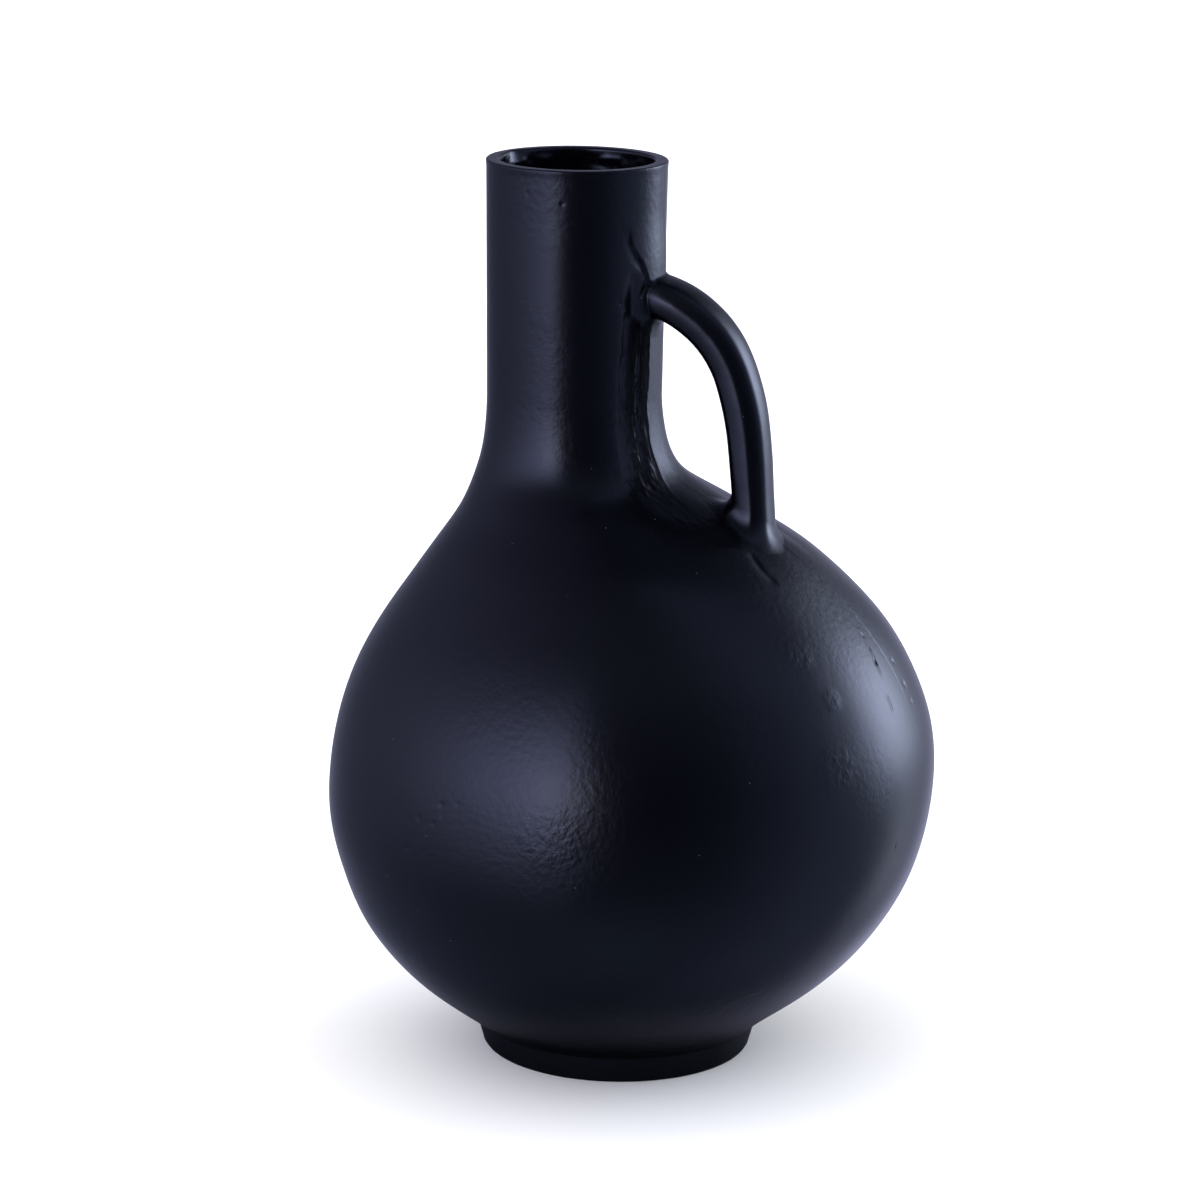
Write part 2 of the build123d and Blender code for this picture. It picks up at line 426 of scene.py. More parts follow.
def grid_faces(rows, columns, wrap_rows=False, wrap_columns=False):
    """Four-sided faces over a grid of points, which may close on itself either way."""
    r = np.arange(rows if wrap_rows else rows - 1)[:, None]
    c = np.arange(columns if wrap_columns else columns - 1)[None, :]
    up = (r + 1) % rows
    right = (c + 1) % columns
    corners = (r * columns + c, r * columns + right, up * columns + right, up * columns + c)
    return stacked(*corners).reshape(-1, 4)


def capped_faces(rows, columns, wrap_rows=False):
    """Faces over a grid that closes on itself one way, with a flat cap at each open end."""
    grid = np.arange(rows * columns).reshape(rows, columns)
    ends = (grid[:, 0], grid[::-1, -1]) if wrap_rows else (grid[0, ::-1], grid[-1])
    return [*grid_faces(rows, columns, wrap_rows, not wrap_rows), *ends]


def grid_normals(points, wrap_columns=False):
    """Unit normals of a grid of points, outwards from faces made by grid_faces."""
    if wrap_columns:
        padded = np.concatenate([points[:, -1:], points, points[:, :1]], axis=1)
        across = padded[:, 2:] - padded[:, :-2]
    else:
        across = np.gradient(points, axis=1)
    normals = np.cross(across, np.gradient(points, axis=0))
    return normals / np.maximum(np.linalg.norm(normals, axis=-1, keepdims=True), 1e-12)


def add_object(name, data):
    """A new object in the scene."""
    added = bpy.data.objects.new(name, data)
    bpy.context.scene.collection.objects.link(added)
    return added


def make_piece(name, points, faces, material, replaced, sharp_angle=40):
    """One mesh piece, smooth but for its sharp edges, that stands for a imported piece."""
    mesh = bpy.data.meshes.new(name)
    vertices = np.asarray(points, float).reshape(-1, 3) * MM
    mesh.from_pydata(vertices.tolist(), [], [[int(i) for i in face] for face in faces])
    mesh.shade_smooth()
    mesh.set_sharp_from_angle(angle=math.radians(sharp_angle))
    mesh.materials.append(material)
    mesh.update()
    piece = add_object(name, mesh)
    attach(piece, "root")
    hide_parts(replaced)


# How far from the lip and from the foot the skin's relief fades out
relief_fade = 3.0


def edge_fade(points):
    """1 on the open wall, and 0 where it meets the lip and the foot."""
    foot_end = (foot_height, foot_height + relief_fade)
    lip_end = (lip_level - relief_fade, lip_level - lip_outer_round)
    return between(points[..., 2], foot_end, lip_end)


# The joint: each half stops short of it, and the slip covers the gap
half_gap = 0.35

# A half's columns: from each angle round from the handle on, the step in degrees
front_columns = [(-180.0, 1.0), (-120.0, 0.35), (-98.0, 1.0), (-40.0, 0.4), (-22.0, 0.25)]
back_columns = [(0.0, 0.25), (6.0, 0.4), (40.0, 1.0)]

# Wrinkles that stand into the neck's bore, the fine ones only near the lip
bore_wrinkles = ((0.25, 7, 21, 0), (0.25, 3.5, 22, 0))
fine_wrinkles = ((0.14, 1.9, 23, 0),)
wrinkle_levels = ((200, 260), (lip_level - 3.5, lip_level - 1.5))
fine_wrinkle_start = (lip_level - 14, lip_level - 9)

# The thumb's dent in the lip's inner edge: angle, half width, depth, how far out it starts, and the
# levels and radii over which it fades
lip_dent_angle = 163.0
lip_dent_width = 4.5
lip_dent_depth = 1.3
lip_dent_start = 15.0
lip_dent_levels = (lip_level - 4.5, lip_level - 0.3)
lip_dent_radii = (bore_radius + 0.3, bore_radius + 2.5)


def inner_relief(points):
    """How far the inner wall stands into the bore: wrinkles in the neck, and the lip's dent."""
    x, y, z = np.moveaxis(points + (neck_offset, 0, 0), -1, 0)
    fine = waves(points, fine_wrinkles) * ease(z, *fine_wrinkle_start)
    relief = (waves(points, bore_wrinkles) + fine) * between(z, *wrinkle_levels)
    angle = math.radians(lip_dent_angle)
    across = y * math.cos(angle) - x * math.sin(angle)
    near = ease(x * math.cos(angle) + y * math.sin(angle), 0, lip_dent_start)
    dent = hump(across, lip_dent_width) * near * ease(z, *lip_dent_levels)
    return relief - lip_dent_depth * dent * (1 - ease(np.hypot(x, y), *lip_dent_radii))


def half_shell(name, angle_stops, material):
    """One pressed half of the vase, from its first angle half way round."""
    profile, outer_count = shell_profile()
    radius, level, centre = (column[:, None] for column in profile.T)
    angles = np.radians(stepped(angle_stops, angle_stops[0][0] + 180))
    share = (angles - angles[0]) / math.pi
    start = np.arcsin(half_gap / radius)
    turn = angles[0] + start + (math.pi - 2 * start) * share
    x = centre + radius * np.cos(turn)
    y = radius * np.sin(turn)
    points = stacked(x, y, level)
    outside = points[:outer_count]
    shift = shell_relief(outside) * edge_fade(outside)
    points[:outer_count] = outside + shift[..., None] * grid_normals(outside)
    inner_rows = slice(outer_count + lip_even_rows, None)
    inside = points[inner_rows]
    inward = -stacked(np.cos(turn), np.sin(turn), 0)[inner_rows]
    points[inner_rows] = inside + inner_relief(inside)[..., None] * inward
    faces = capped_faces(*points.shape[:2], wrap_rows=True)
    make_piece(name, points, faces, material, name)


# The slip's bead in the joint: half width, height, where across it the crest runs, how far its
# edges sink, how far it lies under the lip and the inner wall, and its unevenness down the joint
seam_half_width = 0.8
seam_stand_out = 0.24
seam_crest = 0.67
seam_sink = 0.015
seam_tuck = 0.02
seam_wander = 0.2
seam_pitches = (0.21, 0.083)

# What is left of the bead where it was wiped down: low on the belly, and inside the loop
seam_left_low = 0.15
seam_low_levels = (125, 160)
seam_wiped_in_loop = 0.7
seam_loop_levels = (176, 184)


def bead_height(level):
    """How far the slip's bead stands out at a level."""
    quick, slow = seam_pitches
    swing = np.sin(level * quick) * np.sin(level * slow + 1.0)
    wander = 1 - seam_wander + seam_wander * swing
    on_belly = (1 - seam_left_low) * ease(level, *seam_low_levels)
    in_loop = 1 - seam_wiped_in_loop * ease(level, *seam_loop_levels)
    return seam_stand_out * wander * (seam_left_low + on_belly * in_loop)


def joint_seam(name, side, material):
    """The slip in the joint, standing just proud of the wall: side is 1 at the handle."""
    profile, outer_count = shell_profile()
    share = np.linspace(-1, 1, 7)[None, :]
    radius, level, centre = (column[:, None] for column in profile.T)
    x = centre + side * radius
    y = side * seam_half_width * share
    points = stacked(x, y, level)
    run = np.gradient(profile[:, :2], axis=0)
    length = np.maximum(np.hypot(run[:, 0], run[:, 1]), 1e-9)
    out = side * run[:, 1] / length
    up = -run[:, 0] / length
    outward = stacked(out, 0, up)[:, None, :]
    crest = np.interp(share, (-1, seam_crest, 1), (0, 1, 0))
    bead = bead_height(points[..., 2]) * crest - seam_sink * share**2
    open_wall = edge_fade(points)
    rise = (bead + shell_relief(points)) * open_wall - seam_tuck * (1 - open_wall)
    rise[outer_count:] = -seam_tuck
    points = points + rise[..., None] * outward
    faces = capped_faces(*points.shape[:2], wrap_rows=True)
    make_piece(name, points, faces, material, name)


# Handle: its middle line is a crown arc below the lip, a gentler back arc and a straight drop
handle_thickness = 13.2
handle_width = 16.0
crown_drop = 41.5
crown_radius = 39.2
crown_inset = 10.0
back_radius = 103.6
start_angle = 9.0
crown_angle = 71.5
back_angle = 12.5
handle_end_level = 168.0

# Rows of the handle's skin along its three stretches, and its columns round
crown_rows, back_rows, drop_rows = 100, 40, 56
handle_columns = 96


def handle_path():
    """Points and directions along the handle's middle line, from inside the neck to the belly."""
    points, headings = [], []

    def arc(centre_x, centre_z, radius, angles):
        for a in angles:
            points.append((centre_x + radius * math.sin(a), centre_z + radius * math.cos(a)))
            headings.append(a)

    centre_x = neck_radius - neck_offset - crown_inset
    centre_z = lip_level - crown_drop - crown_radius
    crown = np.radians(np.linspace(start_angle, crown_angle, crown_rows))
    arc(centre_x, centre_z, crown_radius, crown)
    centre_x -= (back_radius - crown_radius) * math.sin(crown[-1])
    centre_z -= (back_radius - crown_radius) * math.cos(crown[-1])
    back = np.radians(np.linspace(crown_angle, crown_angle + back_angle, back_rows))[1:]
    arc(centre_x, centre_z, back_radius, back)
    x, z = points[-1]
    fall = headings[-1]
    drop = (z - handle_end_level) / math.sin(fall)
    for reach in np.linspace(0, drop, drop_rows)[1:]:
        points.append((x + reach * math.cos(fall), z - reach * math.sin(fall)))
        headings.append(fall)
    return np.array(points), np.array(headings)


# The handle's oval has soft flats from the fingers: the way each faces, in degrees from the flank
# towards the loop's outside, its length, and how rounded the oval stays between them
handle_flats = ((-6.0, 4.4), (23.0, 2.9), (86.0, 3.8))
handle_flat_blur = 9.0
handle_corner_radius = 3.2

# Towards the neck the handle widens on each side, most at a distance out from the neck's wall,
# and fades over these lengths inwards and outwards
root_widening = 3.0
root_widest = 2.5
root_fade_in = 9.0
root_fade_out = 24.0

# Down to the belly the handle's outer side draws in by this share, between these levels
handle_slimming = 0.16
slimming_levels = (handle_end_level + 8, handle_end_level + 40)


def handle_oval(turns):
    """The oval's offsets towards the loop's inside and to the side, at turns from the inside."""
    facing = np.radians(np.linspace(-90, 90, 361))
    step = facing[1] - facing[0]

    def flat(angle):
        blur = math.radians(handle_flat_blur)
        return hump(facing - math.radians(angle), blur) / (blur * math.sqrt(math.pi))

    bend = handle_corner_radius + sum(length * flat(angle) for angle, length in handle_flats)
    side = np.sin(facing) * step
    bend = bend - flat(-90) * (bend * side).sum() / (flat(-90) * side).sum()
    out = np.cumsum(bend * np.cos(facing) * step)
    wide = -np.cumsum(bend * side)
    inner = 1 - 2 * (out - out[0]) / (out[-1] - out[0])
    wide = np.maximum(wide - wide[0], 0) / wide.max()
    spot = np.arctan2(wide, inner)
    turned_by = np.abs((turns + math.pi) % (2 * math.pi) - math.pi)
    inner = np.interp(turned_by, spot, inner)
    wide = np.interp(turned_by, spot, wide) * np.sign(np.sin(turns))
    return handle_thickness / 2 * inner, handle_width / 2 * wide


def handle_skin(points, headings, turns):
    """The handle's oval skin: one row at each point of its line, one column at each turn."""
    inner_offset, side_offset = handle_oval(turns)
    beyond = points[:, 0] + neck_offset - neck_radius - root_widest
    fade = np.where(beyond > 0, root_fade_out, root_fade_in)
    wider = 1 + root_widening / (handle_width / 2) * hump(beyond, fade)
    side_offset = wider[:, None] * side_offset
    slimmer = 1 - handle_slimming * (1 - ease(points[:, 1], *slimming_levels))
    inner_offset = np.where(inner_offset < 0, slimmer[:, None], 1) * inner_offset
    row = stacked(points[:, 0], 0, points[:, 1])[:, None, :]
    inner = stacked(-np.sin(headings), 0, -np.cos(headings))[:, None, :]
    return row + inner_offset[..., None] * inner + side_offset[..., None] * np.array([0, 1.0, 0])


# The handle's unevenness from the fingers that pulled it
finger_waves = ((0.16, 14, 31, 0.6), (0.04, 5, 32, 1))


def full_turn(steps):
    """Angles once round, in radians."""
    return np.linspace(0, 2 * math.pi, steps + 1)[:-1]


def handle_loop(material):
    """The pulled oval handle."""
    skin = handle_skin(*handle_path(), full_turn(handle_columns))
    normals = grid_normals(skin, wrap_columns=True)
    skin = skin + waves(skin, finger_waves)[..., None] * normals
    faces = capped_faces(*skin.shape[:2])
    make_piece("handle", skin, faces, material, "handle")


# Clay at each root, inside the loop, on the flanks and outside it: how far it goes up the handle
# and over the wall, how full its corner is, from 0 to 1, and how thick its edge
upper_root_sizes = ((5.0, 4.5, 0.8, 0.0), (0.9, 0.7, 1.0, 0.0), (2.0, 1.4, 1.0, 0.0))
lower_root_sizes = ((15.0, 12.0, 0.9, 0.0), (7.0, 5.0, 1.0, 0.0), (3.5, 1.8, 1.0, 0.3))

# Each root's toe, a lobe of clay: how much farther it goes up the handle and over the wall, and
# where it lies, in degrees round from the loop's inside, minus on the camera's side
upper_root_toe = (0.6, 4.5, -45)
lower_root_toe = (2.5, 6.0, -135)

# The collars' columns, rows and lumps, and the lumps that make their reach uneven
collar_columns = 120
collar_rows = 21
collar_lumps = ((0.1, 5, 42, 0),)
collar_uneven = ((0.12, 9, 41, 0),)

# How far a collar's edge lies under the wall, and past both edges a row that is tucked under: how
# far on it lies, and how deep in the wall and in the handle
collar_edge_sink = 0.04
collar_tuck = 0.8
collar_tuck_in_wall = 0.12
collar_tuck_in_handle = 0.06

# A collar with an edge this thick meets the wall more steeply, by this share
thick_edge = 1.5
thick_edge_steeper = 0.8


def unit(vectors):
    """The vectors' directions."""
    return vectors / np.linalg.norm(vectors, axis=-1, keepdims=True)


def depth_in_wall(points):
    """How far outside the drawn wall each point is, level by level: negative is inside."""
    radius, centre, _, slope = outline(points[..., 2])
    reach = np.hypot(points[..., 0] - centre, points[..., 1])
    return (reach - radius) / np.hypot(1, slope)


def onto_wall(points, sink):
    """The points moved level onto the wall, and under it by sink."""
    radius, centre, _, slope = outline(points[..., 2])
    reach = np.hypot(points[..., 0] - centre, points[..., 1])
    scale = (radius - sink * np.hypot(1, slope)) / np.maximum(reach, 1e-9)
    x = centre + (points[..., 0] - centre) * scale
    return stacked(x, points[..., 1] * scale, points[..., 2])


def handle_in_wall(points, skin):
    """How far along its line each column of the handle's skin comes out of the wall, and a way to
    find the skin's points at such distances."""
    depth = depth_in_wall(skin)
    first = (depth > 0).argmax(axis=0)
    columns = np.arange(skin.shape[1])
    before, after = depth[first - 1, columns], depth[first, columns]
    part = -before / (after - before)
    length = np.concatenate([[0], np.cumsum(np.linalg.norm(np.diff(points, axis=0), axis=1))])
    meets = length[first - 1] + part * (length[first] - length[first - 1])

    def on_handle(spots):
        found = [[np.interp(spots[c], length, skin[:, c, i]) for i in range(3)] for c in columns]
        return np.array(found)

    return meets, on_handle


def root_collar(name, at_start, sizes, toe, material):
    """The clay smoothed round one root of the handle."""
    points, headings = handle_path()
    if not at_start:
        points, headings = points[::-1], headings[::-1]
    turns = full_turn(collar_columns)
    meets, on_handle = handle_in_wall(points, handle_skin(points, headings, turns))
    inside, flank, outside = (np.array(size, float) for size in sizes)
    cosine = np.cos(turns)[:, None]
    inner_blend = flank + (inside - flank) * cosine**4
    outer_blend = flank + (outside - flank) * cosine**2
    reach, spread, tight, edge = np.where(cosine > 0, inner_blend, outer_blend).T
    more_reach, more_spread, toe_angle = toe
    toe_side = np.maximum(0, np.cos(turns - math.radians(toe_angle))) ** 2
    crossing = on_handle(meets)
    uneven = 1 + waves(crossing, collar_uneven)
    up = on_handle(meets + (reach + more_reach * toe_side) * uneven)
    away = unit(crossing - crossing.mean(axis=0))
    over = (spread + more_spread * toe_side) * uneven
    out = onto_wall(crossing + away * over[:, None], collar_edge_sink)
    corner = crossing + (up - crossing) * (0.5 - 0.5 * tight[:, None])
    proud = onto_wall(out, -1.0) - onto_wall(out, 0.0)
    first_pull = up + (corner - up) * 2 / 3
    steeper = thick_edge_steeper * np.minimum(1, edge / thick_edge)
    lean = 2 / 3 * (1 - steeper)[:, None]
    last_pull = out + (corner - out) * lean + proud * edge[:, None]
    rows = [up + unit(up - crossing) * collar_tuck]
    for t in np.linspace(0, 1, collar_rows):
        start = (1 - t) ** 3 * up + 3 * t * (1 - t) ** 2 * first_pull
        rows.append(start + 3 * t**2 * (1 - t) * last_pull + t**3 * out)
    rows.append(onto_wall(out + away * collar_tuck, collar_tuck_in_wall))
    rows = np.array(rows)
    share = np.array([1, *np.linspace(1, 0, collar_rows), 0])[:, None]
    if at_start:
        rows, share = rows[::-1], share[::-1]
    shift = waves(rows, finger_waves) * share + shell_relief(rows) * (1 - share)
    shift = shift + waves(rows, collar_lumps) * 4 * share * (1 - share)
    shift[-1 if at_start else 0] -= collar_tuck_in_handle
    rows = rows + shift[..., None] * grid_normals(rows, wrap_columns=True)
    faces = capped_faces(*rows.shape[:2])
    make_piece(name, rows, faces, material, name, sharp_angle=60)


def turned(name, profile, steps, material, relief=None):
    """A turned piece: a closed profile of radius and height, swept round the foot's axis."""
    radius, level = (column[:, None] for column in np.array(profile, float).T)
    turns = full_turn(steps)
    x = -foot_offset + radius * np.cos(turns)
    y = radius * np.sin(turns)
    points = stacked(x, y, level)
    if relief is not None:
        points = points + relief(points)
    faces = grid_faces(*points.shape[:2], wrap_rows=True, wrap_columns=True)
    make_piece(name, points, faces, material, name)


foot_taper = 2.7
foot_width = 9.0
foot_edge_round = 1.0
foot_rebate_wall = 6.45
foot_columns = 360

# The foot's side: the share of its height where it starts above the round edge, and its rows
foot_side_start = 0.12
foot_side_rows = 28

# The foot's unevenness, and the heights over which it comes up
foot_waves = ((0.1, 16, 51, 1),)
foot_waves_start = (0, 2)


def foot_relief(points):
    """How the foot's side stands off its turned form, level outwards."""
    shift = waves(points, foot_waves) * ease(points[..., 2], *foot_waves_start)
    outwards = points - (-foot_offset, 0, 0)
    outwards[..., 2] = 0
    return shift[..., None] * unit(outwards)


def foot_ring(material):
    """The turned foot: a tapering cone with a crisp lower edge."""
    bottom_radius = foot_top_radius - foot_taper
    inner_radius = bottom_radius - foot_width
    rebate_radius = foot_top_radius - foot_rebate_wall
    rebate_level = foot_height - base_disc_thickness
    edge = foot_edge_round
    profile = rounded(bottom_radius - edge, edge, edge, np.linspace(-90, -14, 6))
    for share in np.linspace(foot_side_start, 1, foot_side_rows):
        profile.append((bottom_radius + foot_taper * share, share * foot_height))
    profile += [(rebate_radius, foot_height), (rebate_radius, rebate_level)]
    profile += [(inner_radius, rebate_level)]
    profile += rounded(inner_radius + edge, edge, edge, np.linspace(180, 270, 6))
    turned("foot_ring", profile, foot_columns, material, foot_relief)


# The base disc: columns, how far apart its rows are, the rings that turning left underneath, as
# height and pitch, how deep they lie, the plain rim, and a tiny hole in place of a middle point
disc_columns = 180
disc_row_step = 0.8
disc_rings = ((0.06, 1.9), (0.08, 0.7))
disc_ring_depth = 0.26
disc_rim = 0.6
disc_middle = 0.01


def base_disc(material):
    """The disc that closes the belly, with the rings that turning leaves underneath."""
    low = foot_height - base_disc_thickness
    profile = [(disc_middle, low)]
    for radius in np.arange(disc_row_step, base_disc_radius - 1, disc_row_step):
        ring = sum(height * math.sin(radius * pitch) for height, pitch in disc_rings)
        profile.append((radius, low + disc_ring_depth + ring))
    profile += [(base_disc_radius - disc_rim, low), (base_disc_radius, low)]
    profile += [(base_disc_radius, foot_height), (disc_middle, foot_height)]
    turned("base_disc", profile, disc_columns, material)


class Wiring:
    """Short ways to add shader nodes to one tree and to feed them."""

    def __init__(self, tree):
        self.tree = tree

    def add(self, kind, **settings):
        node = self.tree.nodes.new("ShaderNode" + kind)
        for name, value in settings.items():
            setattr(node, name, value)
        return node

    def feed(self, node, *in_order, **by_name):
        """Give a node's inputs values or outputs, in order or by name, with _ for a space."""
        fed = list(zip(node.inputs, in_order))
        fed += [(node.inputs[name.replace("_", " ")], value) for name, value in by_name.items()]
        for socket, value in fed:
            if isinstance(value, bpy.types.NodeSocket):
                self.tree.links.new(value, socket)
            else:
                socket.default_value = value
        return node

    def place(self):
        return self.add("TexCoord").outputs["Object"]

    def calc(self, operation, *values):
        node = self.add("Math", operation=operation)
        return self.feed(node, *values).outputs[0]

    def times(self, product, *others):
        for value in others:
            product = self.calc("MULTIPLY", product, value)
        return product

    def vector(self, operation, *values, **by_name):
        node = self.feed(self.add("VectorMath", operation=operation), *values, **by_name)
        return node.outputs["Value" if operation in ("DISTANCE", "DOT_PRODUCT") else "Vector"]

    def noise(self, place, scale, detail=2.0, roughness=0.5):
        node = self.add("TexNoise")
        self.feed(node, Vector=place, Scale=scale, Detail=detail, Roughness=roughness)
        return node.outputs["Fac"]

    def range(self, value, low, high, to_low=0.0, to_high=1.0):
        node = self.add("MapRange", interpolation_type="SMOOTHSTEP")
        self.feed(node, Value=value, From_Min=low, From_Max=high, To_Min=to_low, To_Max=to_high)
        return node.outputs["Result"]

    def between(self, value, rise, fall):
        return self.times(self.range(value, *rise), self.range(value, *fall, 1.0, 0.0))

    def mix(self, factor, one, other):
        node = self.add("Mix", data_type="RGBA")
        return self.feed(node, Factor=factor, A=one, B=other).outputs["Result"]

    def mix_shaders(self, factor, one, other):
        return self.feed(self.add("MixShader"), factor, one, other).outputs[0]

    def group(self, tree, **values):
        node = self.add("Group", node_tree=tree)
        return self.feed(node, **values).outputs[0]


def node_group(name, inputs, output):
    """A shader group with named inputs and one output: itself, its wiring, inputs and end."""
    group = bpy.data.node_groups.new(name, "ShaderNodeTree")
    for label in inputs:
        group.interface.new_socket(label, in_out="INPUT", socket_type="NodeSocketFloat")
    group.interface.new_socket(output, in_out="OUTPUT", socket_type="NodeSocketFloat")
    given, result = group.nodes.new("NodeGroupInput"), group.nodes.new("NodeGroupOutput")
    return group, Wiring(group), given.outputs, result


# Spots where the coat wrinkled as it dried: height, angle from the handle and radius
wrinkled_spots = (
    (152.1, -29.9, 7.0), (138.4, -26.6, 5.0), (118.5, -30.0, 10.0), (101.0, -86.0, 14.0)
)

# How strong the wrinkles are there, and the share of the radius over which they stay so
wrinkled_strength = 1.2
wrinkled_middle = 0.4

# Patches of stronger dimpling: how many a metre, then the noise and the strength they lie between
peel_patches = 16.0
peel_patch_range = (0.44, 0.62, 0.2, 1.0)


def orange_peel_group():
    """The fine dimpling of a dipped coat, stronger in some patches: a height in metres."""
    inputs = ("Depth", "Spots per metre")
    group, wire, given, result = node_group("orange_peel", inputs, "Height")
    place = wire.place()
    dimples = wire.noise(place, given["Spots per metre"])
    patch = wire.range(wire.noise(place, peel_patches), *peel_patch_range)
    for level, degrees, radius in wrinkled_spots:
        away = wire.vector("DISTANCE", place, Vector(wall_point_at(level, degrees)) * MM)
        fade = (radius * wrinkled_middle * MM, radius * MM)
        patch = wire.calc("ADD", patch, wire.range(away, *fade, wrinkled_strength, 0.0))
    wire.feed(result, Height=wire.times(dimples, patch, given["Depth"]))
    return group


# The noises of the coat's gloss: how many spots a metre, detail, and share
gloss_noises = ((22.0, 3.0, 1.4), (320.0, 2.0, 0.6))

# The strip rubbed down inside the loop, in metres: where it comes up and fades outwards, upwards
# and to each side of the joint, and how much duller it is
rubbed_outwards = ((0.001, 0.004), (0.013, 0.022))
rubbed_levels = ((0.184, 0.194), (0.246, 0.254))
rubbed_sides = (0.008, 0.011)
rubbed_dullness = 0.12


def handled_gloss_group():
    """Uneven gloss from handling and dipping, duller on the strip rubbed down inside the loop."""
    inputs = ("Middle", "Spread", "Rubbed")
    group, wire, given, result = node_group("handled_gloss", inputs, "Roughness")
    place = wire.place()
    parts = []
    for spots, detail, share in gloss_noises:
        centred = wire.calc("SUBTRACT", wire.noise(place, spots, detail), 0.5)
        parts.append(wire.times(centred, share))
    uneven = wire.times(wire.calc("ADD", *parts), given["Spread"])
    rough = wire.calc("ADD", uneven, given["Middle"])
    x, y, z = wire.feed(wire.add("SeparateXYZ"), place).outputs
    strip = wire.times(wire.between(x, *rubbed_outwards), wire.between(z, *rubbed_levels))
    beside = wire.range(wire.calc("ABSOLUTE", y), *rubbed_sides, 1.0, 0.0)
    rough = wire.calc("ADD", rough, wire.times(strip, beside, given["Rubbed"]))
    wire.feed(result, Roughness=rough)
    return group


# The share of specks that the dust leaves out
dust_left_out = 0.62


def dust_group():
    """Tiny pale specks that settle on dark glaze: a mask."""
    inputs = ("Specks per metre", "Size")
    group, wire, given, result = node_group("dust", inputs, "Mask")
    cells = wire.add("TexVoronoi")
    wire.feed(cells, Vector=wire.place(), Scale=given["Specks per metre"])
    near = wire.calc("LESS_THAN", cells.outputs["Distance"], given["Size"])
    split = wire.feed(wire.add("SeparateColor"), Color=cells.outputs["Color"])
    few = wire.calc("GREATER_THAN", split.outputs["Red"], dust_left_out)
    wire.feed(result, Mask=wire.times(near, few))
    return group


# What the coats share. A tone patch has its spots a metre, detail and roughness
tone_patches = (35.0, 4.0, 0.6)
mirror_tint = (0.87, 0.87, 1.0, 1)
glaze_ior = 1.5
dust_colour = (0.055, 0.058, 0.066, 1)
dust_specks = 170.0
peel_spots = 430.0


def new_material(name):
    """A material, its wiring and its main shader."""
    material = bpy.data.materials.new(name)
    material.use_nodes = True
    return material, Wiring(material.node_tree), material.node_tree.nodes["Principled BSDF"]


def dark_coat(
    name, deep, pale, gloss=0.235, spread=0.1, mirror=0.5, peel_depth=0.00013, dust_size=0.03
):
    """A black satin coat: bluish black, uneven gloss, orange peel and a little dust."""
    material, wire, shader = new_material(name)
    tone = wire.mix(wire.noise(wire.place(), *tone_patches), (*deep, 1), (*pale, 1))
    specks = wire.group(dust, Specks_per_metre=dust_specks, Size=dust_size)
    peel = wire.group(orange_peel, Depth=peel_depth, Spots_per_metre=peel_spots)
    bump = wire.feed(wire.add("Bump"), Strength=1.0, Distance=1.0, Height=peel)
    wire.feed(
        shader,
        Base_Color=wire.mix(specks, tone, dust_colour),
        Roughness=wire.group(handled_gloss, Middle=gloss, Spread=spread, Rubbed=rubbed_dullness),
        IOR=glaze_ior,
        Specular_IOR_Level=mirror,
        Specular_Tint=mirror_tint,
        Normal=bump.outputs["Normal"],
    )
    return material


# The photograph's viewpoint, in metres and degrees round the foot's axis
camera_distance = 1.355
camera_height = 0.498
camera_turn = 19.14
camera_tilt = 14.27
camera_yaw = -0.32
camera_roll = 0.82
focal_pixels = 4205.0
image_pixels = 1200.0
sensor_width = 36.0


def view_directions():
    """The level directions from the vase to the camera, and to the camera's right."""
    turn = math.radians(camera_turn)
    return Vector((math.sin(turn), -math.cos(turn), 0)), Vector((math.cos(turn), math.sin(turn), 0))


def set_camera():
    """A camera at the photograph's viewpoint."""
    turns = ((camera_turn - camera_yaw, "Z"), (90 - camera_tilt, "X"), (camera_roll, "Z"))
    turn, tilt, roll = (Matrix.Rotation(math.radians(a), 4, axis) for a, axis in turns)
    data = bpy.data.cameras.new("photo_camera")
    data.sensor_width = sensor_width
    data.lens = focal_pixels / image_pixels * sensor_width
    data.clip_start = 0.05
    data.clip_end = 50
    camera = add_object("photo_camera", data)
    camera.matrix_world = turn @ tilt @ roll
    front, _ = view_directions()
    camera.location = front * camera_distance + Vector((-foot_offset * MM, 0, camera_height))
    bpy.context.scene.camera = camera


# The studio's soft boxes and washes: red, green and blue strength, direction round from the camera
# (plus is to its right), height, and the widths over which each fades round and up, in degrees.
# The left box is cut off softly to the right of its edge
left_box = ((2.24, 2.49, 3.67), -6.0, 10.0, 62.0, 26.0)
left_box_edge = -24.0
left_box_edge_blur = 10.0
lights = (
    ((4.25, 4.80, 6.20), 119.0, 10.6, 17.6, 18.0),
    ((0.50, 0.56, 0.68), 127.0, -26.0, 10.0, 12.0),
    ((0.90, 0.90, 0.90), -27.0, 8.0, 11.0, 16.0),
    ((0.17, 0.17, 0.28), -98.0, 20.0, 55.0, 60.0),
    ((0.24, 0.30, 0.46), 82.0, 15.0, 35.0, 75.0),
    ((0.53, 0.54, 0.74), 168.0, -28.0, 31.0, 36.0),
    ((0.09, 0.104, 0.131), 5.0, 62.0, 70.0, 28.0),
    ((0.068, 0.103, 0.134), -5.0, -58.0, 48.0, 18.0),
)
room_dark = (0.024, 0.031, 0.055)
floor_bounce = (0.065, 0.076, 0.122)

# The heights, in radians, over which the floor's light comes up
floor_bounce_span = (0.2, -1.0)


